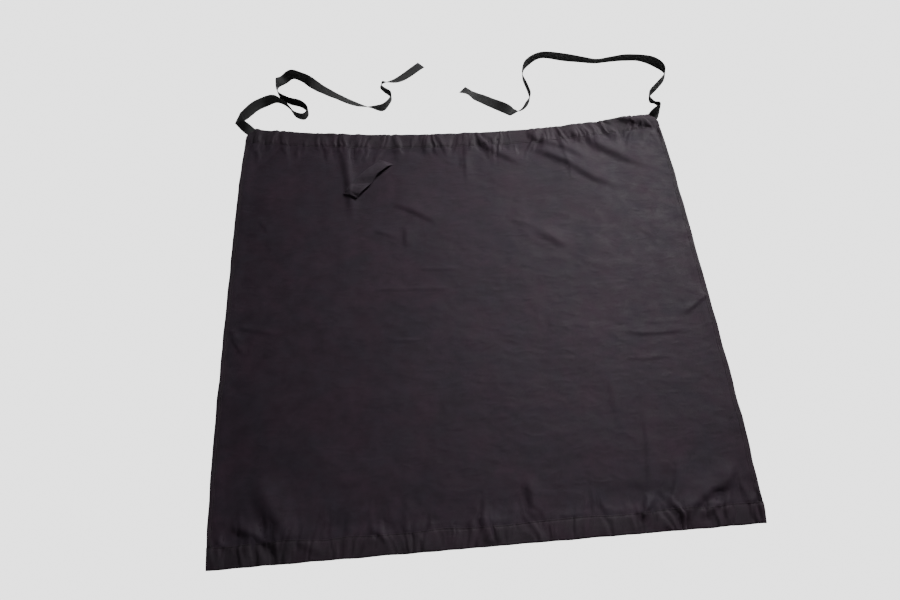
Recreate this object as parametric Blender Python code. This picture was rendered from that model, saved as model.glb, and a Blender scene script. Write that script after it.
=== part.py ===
# Waist apron for grill work, laid flat with its front up and its two ties out above it.
# Metres, +Z up. +X runs across the apron, +Y from its hem to its waistband.
# The origin is the middle of the panel, on the floor that it rests on.
import math
from collections import namedtuple

import bpy
import bmesh
import numpy as np

# Panel
PANEL_WIDTH = 1.000
PANEL_LENGTH = 1.000
SIDE_BOW = 0.010          # how far each side curves out at mid length
TOP_DIP = 0.040           # how far the waist edge dips between its corners
LENGTH_SKEW = 0.016       # how much further the left corners reach than the right ones
CLOTH = 0.0010
GAP = 0.0003

# Hems and waistband, each a folded band that holds the panel's edge
SIDE_HEM_DEPTH = 0.010
BOTTOM_HEM_DEPTH = 0.038
BAND_GRIP = 0.015         # how far the panel reaches into the waistband
PUCKER = 0.0011
PUCKER_PITCH = 0.052
EASE = 0.018              # run over which the panel settles from a band to the floor
LIP_MARGIN = 0.002
FOLD_RISE = 0.009
FOLD_FADE = 0.020

# Ties, flat tape
TIE_WIDTH = 0.025
TIE_THICK = 0.0010
TIE_ROOT = 0.012          # how far a tie reaches into the waistband's cut corner
LEFT_TIE_LENGTH = 0.990
RIGHT_TIE_LENGTH = 0.925

# Towel loop
LOOP_WIDTH = 0.034
LOOP_LENGTH = 0.130
LOOP_THICK = 0.0014
LOOP_RISE = 0.0075
LOOP_SEAM = 0.012         # flat sewn length at each end
LOOP_HEADING = 229.0      # degrees from +X
LOOP_PLACE = (-0.208, 0.330)   # its middle, as shares of the panel's width and length

SLOT = max(CLOTH, TIE_THICK) + 2 * GAP
SEAT = CLOTH + GAP
BAND_HEIGHT = 2 * CLOTH + SLOT
END_SLOPE = 4 * TOP_DIP / PANEL_WIDTH
TIE_SLACK = 1.4 * (CLOTH + 2 * GAP)
CORNER_CUT = (TIE_WIDTH + 2 * TIE_SLACK) / math.hypot(1, 1 - END_SLOPE)
PANEL_INSET = CORNER_CUT / 2 + (TIE_ROOT + TIE_WIDTH / 2) * math.sqrt(0.5) + 2 * GAP
WAISTBAND_DEPTH = PANEL_INSET + BAND_GRIP

# Main folds, as ridges: middle (shares of the panel's width and length from its centre),
# heading in degrees, length and half width (shares of the width), height (share of FOLD_RISE)
Fold = namedtuple("Fold", "across up heading length spread height")
FOLDS = [
    Fold(0.360, 0.393, -33, 0.26, 0.028, 1.00),
    Fold(0.250, 0.402, -33, 0.18, 0.022, 0.70),
    Fold(0.294, 0.344, -33, 0.27, 0.026, 0.85),
    Fold(0.112, 0.396, -38, 0.16, 0.023, 0.60),
    Fold(0.188, 0.142, -37, 0.16, 0.040, 0.35),
    Fold(-0.096, 0.234, -32, 0.14, 0.030, 0.35),
    Fold(-0.366, -0.412, -62, 0.15, 0.030, 0.90),
    Fold(-0.425, -0.440, -42, 0.12, 0.022, 0.45),
    Fold(0.392, -0.412, 26, 0.15, 0.030, 0.85),
    Fold(0.092, -0.425, 84, 0.10, 0.026, 0.35),
    Fold(-0.478, -0.065, -48, 0.08, 0.018, 0.35),
]

# Routes of the ties: places as shares of the tie's length from where it leaves the waistband,
# lean in degrees from lying flat with the left edge raised, lift off the floor as a share of
# the tape's width, and whether the tape is folded over there
Bend = namedtuple("Bend", "across out lean lift fold")
LEFT_TIE = [
    Bend(-0.021, 0.017, -46, 0.05, False),
    Bend(-0.037, 0.046, 0, 0.14, True),
    Bend(-0.024, 0.052, 0, 0.00, False),
    Bend(0.004, 0.081, 18, 0.00, False),
    Bend(0.029, 0.093, 64, 0.00, False),
    Bend(0.057, 0.096, 108, 0.00, False),
    Bend(0.087, 0.072, 110, 0.00, False),
    Bend(0.107, 0.042, 97, 0.00, False),
    Bend(0.128, 0.034, 93, 0.00, False),
    Bend(0.138, 0.051, 93, 0.00, False),
    Bend(0.121, 0.075, 93, 0.00, False),
    Bend(0.087, 0.090, 93, 0.00, False),
    Bend(0.062, 0.113, 87, 0.00, False),
    Bend(0.056, 0.146, 85, 0.00, False),
    Bend(0.070, 0.171, 18, 0.00, False),
    Bend(0.092, 0.181, 62, 0.00, False),
    Bend(0.118, 0.169, 68, 0.00, False),
    Bend(0.151, 0.148, 12, 0.00, False),
    Bend(0.204, 0.106, -18, 0.00, False),
    Bend(0.254, 0.073, -28, 0.00, False),
    Bend(0.290, 0.056, -52, 0.00, False),
    Bend(0.322, 0.051, -92, 0.00, False),
    Bend(0.339, 0.070, -85, 0.00, False),
    Bend(0.345, 0.090, -90, 0.00, False),
    Bend(0.323, 0.117, -95, 0.00, False),
    Bend(0.322, 0.134, -65, 0.00, False),
    Bend(0.359, 0.149, -18, 0.00, False),
    Bend(0.425, 0.205, 0, 0.00, False),
]
RIGHT_TIE = [
    Bend(0.013, 0.012, 46, 0.00, False),
    Bend(0.023, 0.021, 82, 0.00, False),
    Bend(0.024, 0.032, 82, 0.00, False),
    Bend(0.015, 0.043, 60, 0.00, False),
    Bend(0.004, 0.052, 78, 0.00, False),
    Bend(0.004, 0.071, 90, 0.00, False),
    Bend(0.032, 0.103, 88, 0.00, False),
    Bend(0.058, 0.134, 95, 0.00, False),
    Bend(0.065, 0.161, 85, 0.00, False),
    Bend(0.046, 0.191, 106, 0.00, False),
    Bend(0.010, 0.210, 85, 0.00, False),
    Bend(-0.039, 0.215, 83, 0.00, False),
    Bend(-0.082, 0.211, 75, 0.00, False),
    Bend(-0.119, 0.207, 70, 0.00, False),
    Bend(-0.160, 0.216, 80, 0.00, False),
    Bend(-0.204, 0.227, 92, 0.00, False),
    Bend(-0.269, 0.240, 85, 0.00, False),
    Bend(-0.306, 0.219, 98, 0.00, False),
    Bend(-0.323, 0.197, 95, 0.00, False),
    Bend(-0.330, 0.162, 98, 0.00, False),
    Bend(-0.320, 0.113, 92, 0.00, False),
    Bend(-0.319, 0.082, 88, 0.00, False),
    Bend(-0.337, 0.052, 84, 0.00, False),
    Bend(-0.354, 0.040, 50, 0.00, False),
    Bend(-0.381, 0.050, -5, 0.00, False),
    Bend(-0.424, 0.080, -5, 0.00, False),
    Bend(-0.462, 0.108, 12, 0.00, False),
    Bend(-0.479, 0.119, 25, 0.00, False),
    Bend(-0.498, 0.136, 5, 0.00, False),
]

UP = np.array([0.0, 0.0, 1.0])


def lay(p, q):
    """Where a point p across and q up the flat pattern lies on the floor."""
    a, b = p / PANEL_WIDTH, q / PANEL_LENGTH
    reach = PANEL_LENGTH / 2 + LENGTH_SKEW * (0.5 - a)
    low, high = -reach, reach - TOP_DIP * (1 - (2 * a - 1) ** 2)
    x = (2 * a - 1) * (PANEL_WIDTH / 2 + SIDE_BOW * (1 - (2 * b - 1) ** 4))
    return x, low + (high - low) * b


def smoothstep(t):
    t = min(1.0, max(0.0, t))
    return t * t * (3 - 2 * t)


def lip_distance(p, q):
    """Distance from a point of the pattern to the nearest band's inner edge, below 0 inside it."""
    return min(p - SIDE_HEM_DEPTH, PANEL_WIDTH - SIDE_HEM_DEPTH - p,
               q - BOTTOM_HEM_DEPTH, PANEL_LENGTH - WAISTBAND_DEPTH - q)


def ridge(x, y, fold):
    """Height of one fold at a place on the floor, as a share of FOLD_RISE."""
    turn = math.radians(fold.heading)
    dx, dy = x - fold.across * PANEL_WIDTH, y - fold.up * PANEL_LENGTH
    along = (dx * math.cos(turn) + dy * math.sin(turn)) / (fold.length / 2 * PANEL_WIDTH)
    aside = (dy * math.cos(turn) - dx * math.sin(turn)) / (fold.spread * PANEL_WIDTH)
    if abs(along) >= 1 or abs(aside) >= 1:
        return 0.0
    return fold.height * (1 - along ** 2) ** 2 * (1 - aside ** 2) ** 2


def panel_floor(p, q):
    """Height of the panel's underside: seated in the bands, on the floor or lifted by folds between."""
    away = lip_distance(p, q)
    seated = SEAT * (1 - smoothstep((away - LIP_MARGIN) / (EASE - LIP_MARGIN)))
    folds = sum(ridge(*lay(p, q), fold) for fold in FOLDS)
    return seated + FOLD_RISE * folds * smoothstep((away - LIP_MARGIN) / FOLD_FADE)


def stations(start, margin, end_margin, end, count, crowd):
    """Rows of a grid: the edge, the band's lip, the end of the ease, and crowded rows between."""
    low, high = margin + EASE, end_margin - EASE
    inner = [k / count - crowd * math.sin(2 * math.pi * k / count) / (2 * math.pi) for k in range(count + 1)]
    return ([start, margin + LIP_MARGIN] + [low + (high - low) * t for t in inner]
            + [end_margin - LIP_MARGIN, end])


def finish(name, bm, color, roughness):
    """Turn a bmesh into a named object with outward faces and its own material."""
    bmesh.ops.triangulate(bm, faces=bm.faces)
    bmesh.ops.recalc_face_normals(bm, faces=bm.faces)
    if bm.calc_volume(signed=True) < 0:
        bmesh.ops.reverse_faces(bm, faces=bm.faces)
    mesh = bpy.data.meshes.new(name)
    bm.to_mesh(mesh)
    bm.free()
    mesh.shade_smooth()
    mesh.set_sharp_from_angle(angle=math.radians(35))
    material = bpy.data.materials.new(name)
    material.use_nodes = True
    shader = material.node_tree.nodes["Principled BSDF"]
    shader.inputs["Base Color"].default_value = (*color, 1)
    shader.inputs["Roughness"].default_value = roughness
    shader.inputs["Metallic"].default_value = 0.0
    mesh.materials.append(material)
    obj = bpy.data.objects.new(name, mesh)
    bpy.context.scene.collection.objects.link(obj)
    return obj


def tube_of_rings(name, rings, color, roughness):
    """A closed solid through rings of points. Point k of a ring is paired with point -1-k in its end faces."""
    bm = bmesh.new()
    loops = [[bm.verts.new(point) for point in ring] for ring in rings]
    size = len(loops[0])
    for here, there in zip(loops, loops[1:]):
        for k in range(size):
            bm.faces.new((here[k], here[(k + 1) % size], there[(k + 1) % size], there[k]))
    for loop in (loops[0], loops[-1]):
        for k in range(size // 2 - 1):
            bm.faces.new((loop[k], loop[k + 1], loop[-2 - k], loop[-1 - k]))
    return finish(name, bm, color, roughness)


def make_panel(color):
    """The cloth itself: a sheet of one thickness over panel_floor."""
    inset = CLOTH + GAP
    across = stations(inset, SIDE_HEM_DEPTH, PANEL_WIDTH - SIDE_HEM_DEPTH, PANEL_WIDTH - inset, 38, 0.30)
    up = stations(inset, BOTTOM_HEM_DEPTH, PANEL_LENGTH - WAISTBAND_DEPTH, PANEL_LENGTH - PANEL_INSET, 34, 0.45)
    bm = bmesh.new()
    sheets = []
    for top in (0, 1):
        sheets.append([[bm.verts.new((*lay(p, q), panel_floor(p, q) + top * CLOTH)) for p in across] for q in up])
    under, over = sheets
    columns, rows = len(across) - 1, len(up) - 1
    for sheet in sheets:
        for j in range(rows):
            for i in range(columns):
                bm.faces.new((sheet[j][i], sheet[j][i + 1], sheet[j + 1][i + 1], sheet[j + 1][i]))
    rim = ([(0, i) for i in range(columns)] + [(j, columns) for j in range(rows)]
           + [(rows, i) for i in range(columns, 0, -1)] + [(j, 0) for j in range(rows, 0, -1)])
    for (j, i), (n, m) in zip(rim, rim[1:] + rim[:1]):
        bm.faces.new((under[j][i], under[n][m], over[n][m], over[j][i]))
    return finish("panel", bm, color, 0.85)


def band_section(depth, shoulders, bulge):
    """Ring of (inset from the outer edge, height) points round a folded band.
    The shoulders are (inset, share of the bulge) between its edge and its lip."""
    top, soft = BAND_HEIGHT, CLOTH * 0.6
    below = [(depth, 0)] + [(inset, 0) for inset, _ in shoulders[:1]] + [(soft, 0), (0, top / 2), (soft, top)]
    above = [(inset, top + bulge * share) for inset, share in shoulders] + [(depth, top)]
    roof = [(inset, top - CLOTH) for inset, _ in above]
    floor = [(inset, CLOTH) for inset, _ in reversed(below[:-3])]
    return below + above + roof[::-1] + [(CLOTH, top - CLOTH), (CLOTH, top / 2), (CLOTH, CLOTH)] + floor


def gather(run, phase):
    """Gathers along a seam, from 0 in a hollow to 1 on a ridge."""
    turn = 2 * math.pi * run / PUCKER_PITCH
    return 0.5 + 0.3 * math.sin(turn + phase) + 0.2 * math.sin(1.73 * turn + 2.1 * phase)


def make_band(name, place, depth, shoulders, length, count, pucker, color):
    """A folded band: place(share, inset) gives the pattern point at a share of its run."""
    rings = []
    for k in range(count + 1):
        share = k / count
        section = band_section(depth, shoulders, pucker * gather(share * length, len(name)))
        rings.append([(*lay(*place(share, inset)), z) for inset, z in section])
    return tube_of_rings(name, rings, color, 0.85)


def make_bands(color):
    side_low = BOTTOM_HEM_DEPTH + GAP
    side_run = PANEL_LENGTH - WAISTBAND_DEPTH - GAP - side_low

    def waist(share, inset):
        cut = max(0.0, CORNER_CUT - inset)
        return cut + (PANEL_WIDTH - 2 * cut) * share, PANEL_LENGTH - inset

    def bottom(share, inset):
        return PANEL_WIDTH * share, inset

    def left(share, inset):
        return inset, side_low + side_run * share

    def right(share, inset):
        return PANEL_WIDTH - inset, side_low + side_run * share

    waist_shoulders = ((CORNER_CUT, 0.6), (0.85 * WAISTBAND_DEPTH, 1.0))
    hem_shoulders = ((0.4 * BOTTOM_HEM_DEPTH, 0.6), (0.85 * BOTTOM_HEM_DEPTH, 1.0))
    make_band("waistband", waist, WAISTBAND_DEPTH, waist_shoulders, PANEL_WIDTH, 44, PUCKER, color)
    make_band("bottom_hem", bottom, BOTTOM_HEM_DEPTH, hem_shoulders, PANEL_WIDTH, 34, PUCKER * 0.8, color)
    make_band("side_hem_left", left, SIDE_HEM_DEPTH, (), side_run, 24, 0, color)
    make_band("side_hem_right", right, SIDE_HEM_DEPTH, (), side_run, 24, 0, color)


def make_loop(color):
    """A strip sewn down at both ends, with a bow between that a cloth or a hook goes through."""
    turn = math.radians(LOOP_HEADING)
    along = np.array([math.cos(turn), math.sin(turn), 0.0])
    side = np.array([-math.sin(turn), math.cos(turn), 0.0])
    middle = np.array([LOOP_PLACE[0] * PANEL_WIDTH, LOOP_PLACE[1] * PANEL_LENGTH, CLOTH + GAP])
    free = LOOP_LENGTH / 2 - LOOP_SEAM
    steps = 14
    runs = [-LOOP_LENGTH / 2] + [-free + 2 * free * k / steps for k in range(steps + 1)] + [LOOP_LENGTH / 2]
    rings = []
    for run in runs:
        bow = LOOP_RISE * max(0.0, 1 - (run / free) ** 4)
        centre = middle + along * run + UP * bow
        half = side * LOOP_WIDTH / 2
        above = UP * LOOP_THICK
        rings.append([centre - half, centre + half, centre + half + above, centre - half + above])
    return tube_of_rings("towel_loop", rings, color, 0.85)


def smooth_run(rows, steps):
    """A smooth curve through rows of (x, y, lean, lift), with steps points from row to row."""
    rows = [np.array(row, float) for row in rows]
    rows = [2 * rows[0] - rows[1]] + rows + [2 * rows[-1] - rows[-2]]
    knots = [0.0]
    for a, b in zip(rows, rows[1:]):
        knots.append(knots[-1] + math.sqrt(math.hypot(*(b - a)[:2])))
    blends = (((-1, 0), (0, 1), (1, 2)), ((-1, 1), (0, 2)), ((0, 1),))
    run = []
    for i in range(1, len(rows) - 2):
        for step in range(steps):
            here = knots[i] + (knots[i + 1] - knots[i]) * step / steps
            level = rows[i - 1:i + 3]
            for spans in blends:
                shares = [(here - knots[i + a]) / (knots[i + b] - knots[i + a]) for a, b in spans]
                level = [(1 - s) * level[j] + s * level[j + 1] for j, s in enumerate(shares)]
            run.append(level[0])
    run.append(rows[-2])
    return np.array(run)


def tape_sections(run, flipped):
    """Middle, half width and face normal of the tape at each point of a run, resting on its low edge."""
    x, y, lean, lift = run.T
    lean = np.radians(lean)
    rise = TIE_WIDTH / 2 * np.abs(np.sin(lean)) + TIE_THICK / 2 * np.abs(np.cos(lean))
    height = rise + np.maximum(lift, 0)
    dx, dy = np.gradient(x), np.gradient(y)
    length = np.hypot(dx, dy)
    side = np.stack([-dy / length, dx / length, np.zeros(len(x))], 1)
    half = (np.cos(lean)[:, None] * side + np.sin(lean)[:, None] * UP) * TIE_WIDTH / 2
    face = np.cos(lean)[:, None] * UP - np.sin(lean)[:, None] * side
    turn = -1 if flipped else 1
    return [(middle, h * turn, f * turn) for middle, h, f in zip(np.stack([x, y, height], 1), half, face)]


def folded_sections(before, after, corner):
    """The tape rolled over a fold line through corner, from the upper run to the lower one."""
    flat = np.array([1.0, 1.0, 0.0])
    corner = np.array([*corner, 0.0])
    inward = corner - before[0] * flat
    onward = after[0] * flat - corner
    inward /= np.linalg.norm(inward)
    onward /= np.linalg.norm(onward)
    line = (inward + onward) / np.linalg.norm(inward + onward)
    out = (inward - onward) / np.linalg.norm(inward - onward)
    slant = abs(inward[0] * line[1] - inward[1] * line[0])
    half = line * math.copysign(TIE_WIDTH / 2 / slant, before[1] @ line)
    radius = (before[0][2] - after[0][2]) / 2
    middle = corner - out * radius + UP * (before[0][2] + after[0][2]) / 2
    normals = [out * math.cos(turn) + UP * math.sin(turn) for turn in np.radians((90, 45, 0, -45, -90))]
    return [(middle + normal * radius, half, normal) for normal in normals]


def tie_sections(start, heading, bends, length, steps=4):
    """Sections of a whole tie of the given length, from its root inside the waistband."""
    start = np.array(start)
    toward = np.array([math.cos(heading), math.sin(heading)])
    reach = TIE_WIDTH * 0.42
    straight = [(*(start + toward * reached), 0, SEAT) for reached in (-TIE_ROOT, 0, TIE_WIDTH * 0.12)]
    scale = length
    for _ in range(4):
        runs, corners = [list(straight)], []
        for bend in bends:
            place = start + np.array([bend.across, bend.out]) * scale
            runs[-1].append((*place, bend.lean, bend.lift * TIE_WIDTH))
            if bend.fold:
                corners.append(place)
                runs.append([(*place, bend.lean, 0.0)])
        sections = tape_sections(smooth_run(runs[0], steps), False)
        for flips, (corner, run) in enumerate(zip(corners, runs[1:]), 1):
            onward = tape_sections(smooth_run(run, steps), flips % 2 == 1)
            sections = [s for s in sections if math.dist(s[0][:2], corner) > reach]
            onward = [s for s in onward if math.dist(s[0][:2], corner) > reach]
            sections += folded_sections(sections[-1], onward[0], corner) + onward
        real = sum(math.dist(a[0], b[0]) for a, b in zip(sections, sections[1:]))
        scale *= length / real
    return sections


def make_tie(name, near, far, bends, length, color):
    """A tie of flat tape out of the cut corner between two pattern points of the waistband's end."""
    a, b = np.array(lay(*near)), np.array(lay(*far))
    heading = math.atan2(b[1] - a[1], b[0] - a[0]) + math.pi / 2
    rings = []
    for middle, half, face in tie_sections((a + b) / 2, heading, bends, length):
        thick = face * TIE_THICK / 2
        rings.append([middle - half - thick, middle + half - thick, middle + half + thick, middle - half + thick])
    return tube_of_rings(name, rings, color, 0.8)


def make_ties(color):
    low, top = PANEL_LENGTH - CORNER_CUT, PANEL_LENGTH
    make_tie("tie_left", (0, low), (CORNER_CUT, top), LEFT_TIE, LEFT_TIE_LENGTH, color)
    make_tie("tie_right", (PANEL_WIDTH - CORNER_CUT, top), (PANEL_WIDTH, low), RIGHT_TIE, RIGHT_TIE_LENGTH,
             color)


def main():
    for obj in list(bpy.data.objects):
        bpy.data.objects.remove(obj)
    purple_black = (0.034, 0.027, 0.033)
    seam_black = (0.030, 0.025, 0.030)
    tape_black = (0.028, 0.028, 0.028)
    make_panel(purple_black)
    make_bands(seam_black)
    make_loop(purple_black)
    make_ties(tape_black)


main()
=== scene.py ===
# Waist apron for grill work, laid out flat on pale paper, seen from its hem.
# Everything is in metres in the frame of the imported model: +X across, +Y to the waistband, +Z up.
import math

import bmesh
import bpy
import numpy as np
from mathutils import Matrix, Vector


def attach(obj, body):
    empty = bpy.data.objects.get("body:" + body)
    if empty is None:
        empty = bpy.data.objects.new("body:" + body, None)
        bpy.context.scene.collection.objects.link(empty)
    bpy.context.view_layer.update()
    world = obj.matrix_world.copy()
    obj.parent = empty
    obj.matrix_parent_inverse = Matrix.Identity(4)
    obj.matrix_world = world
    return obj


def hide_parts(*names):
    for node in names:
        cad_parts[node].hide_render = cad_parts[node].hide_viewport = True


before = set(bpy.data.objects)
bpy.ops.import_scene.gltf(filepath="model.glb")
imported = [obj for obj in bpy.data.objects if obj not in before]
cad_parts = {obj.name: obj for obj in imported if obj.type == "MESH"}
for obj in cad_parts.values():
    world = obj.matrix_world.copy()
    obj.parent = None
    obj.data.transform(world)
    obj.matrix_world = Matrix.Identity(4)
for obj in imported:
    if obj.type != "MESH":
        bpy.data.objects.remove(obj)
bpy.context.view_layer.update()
upward = np.array([0.0, 0.0, 1.0])
print("stage: frame loaded,", len(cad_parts), "nodes")

apron = {
    "width": 1.000,
    "length": 1.000,
    "sideBow": 0.010,       # how far each side curves out
    "topDip": 0.040,        # how far the waist edge dips
    "skew": 0.016,          # left corners reach further than the right ones
    "waistDepth": 0.0445,   # height of the folded band along the waist
    "cornerCut": 0.0226,    # its corners, cut off where the ties come out
    "hemDepth": 0.0385,
    "sideDepth": 0.0105,
    "sideGap": 0.0004,      # between the ends of the side hems and the bands
    "cloth": 0.0008,        # thickness of the panel
    "lie": 0.0016,          # usual height of its underside over the floor
    "lowest": 0.0004,       # and the least
    "bandSeat": 0.0011,     # how much higher it lies inside its bands
    "ease": 0.022,          # run over which it comes down from them
    "edgeWander": 0.0012,   # unevenness of the sewn edges
    "sideWaves": 21,        # its waves along a side, and along the hem or waist
    "endWaves": 24,
}


def smooth01(t):
    t = np.clip(t, 0, 1)
    return t * t * (3 - 2 * t)


def softNoise(x, y, seed):  # gradient noise, about -1 to 1, in cells of 1 by 1
    cells = 128
    spin = np.random.default_rng(seed).uniform(0, 2 * np.pi, (cells, cells))
    xi, yi = np.floor(x).astype(int), np.floor(y).astype(int)
    fx, fy = x - xi, y - yi

    def corner(i, j):
        turn = spin[(xi + i) % cells, (yi + j) % cells]
        return np.cos(turn) * (fx - i) + np.sin(turn) * (fy - j)

    u = fx ** 3 * (fx * (6 * fx - 15) + 10)
    v = fy ** 3 * (fy * (6 * fy - 15) + 10)
    low = corner(0, 0) * (1 - u) + corner(1, 0) * u
    high = corner(0, 1) * (1 - u) + corner(1, 1) * u
    return 1.5 * (low * (1 - v) + high * v)


def runNoise(run, cell, row, seed):  # the same noise along one line
    return softNoise(run / cell, 0 * run + row, seed)


def halfWidth(b):  # at share b of the apron's length
    return apron["width"] / 2 + apron["sideBow"] * (1 - (2 * b - 1) ** 4)


def endEdges(a):  # where its hem and its waist edge lie, at share a of its width
    reach = apron["length"] / 2 + apron["skew"] * (0.5 - a)
    return -reach, reach - apron["topDip"] * (1 - (2 * a - 1) ** 2)


def layOut(p, q):  # flat pattern (p across, q up) to places on the floor
    p, q = np.asarray(p, float), np.asarray(q, float)
    a, b = p / apron["width"], q / apron["length"]
    low, high = endEdges(a)
    nearSide = smooth01(np.abs(2 * a - 1) * 6 - 5)
    nearEnd = smooth01(np.abs(2 * b - 1) * 6 - 5)
    wander = apron["edgeWander"]
    x = (2 * a - 1) * halfWidth(b) + wander * softNoise(b * apron["sideWaves"] + 3, a * 1.5, 5) * nearSide
    y = low + (high - low) * b + wander * softNoise(a * apron["endWaves"] + 7, b * 1.5, 6) * nearEnd
    return x, y


def patternOf(x, y):  # the flat pattern's (p, q) of a place on the floor
    a, b = x / apron["width"] + 0.5, y / apron["length"] + 0.5
    for _ in range(4):
        a = (x / halfWidth(b) + 1) / 2
        low, high = endEdges(a)
        b = (y - low) / (high - low)
    return a * apron["width"], b * apron["length"]


def roundPath(points, steps=6):  # smooth line through given points
    points = np.array(points, float)
    ends = np.vstack([2 * points[0] - points[1], points, 2 * points[-1] - points[-2]])
    line = []
    for i in range(1, len(ends) - 2):
        a, b, c, d = ends[i - 1:i + 3]
        for t in np.arange(steps) / steps:
            curve = t * (2 * a - 5 * b + 4 * c - d + t * (3 * (b - c) + d - a))
            line.append(b + t / 2 * (c - a + curve))
    return np.array(line + [points[-1]])


def besidePath(x, y, path):  # signed distance (left of the path is above 0) and share along it
    best = np.full(x.shape, np.inf)
    side = np.zeros(x.shape)
    share = np.zeros(x.shape)
    legs = np.hypot(*np.diff(path, axis=0).T)
    total, done = legs.sum(), 0.0
    for (ax, ay), (bx, by), leg in zip(path, path[1:], legs):
        ux, uy = (bx - ax) / leg, (by - ay) / leg
        run = np.clip((x - ax) * ux + (y - ay) * uy, 0, leg)
        away = np.hypot(x - ax - ux * run, y - ay - uy * run)
        near = away < best
        best = np.where(near, away, best)
        side = np.where(near, np.where((y - ay) * ux - (x - ax) * uy >= 0, away, -away), side)
        share = np.where(near, (done + run) / total, share)
        done += leg
    return side, share


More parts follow.
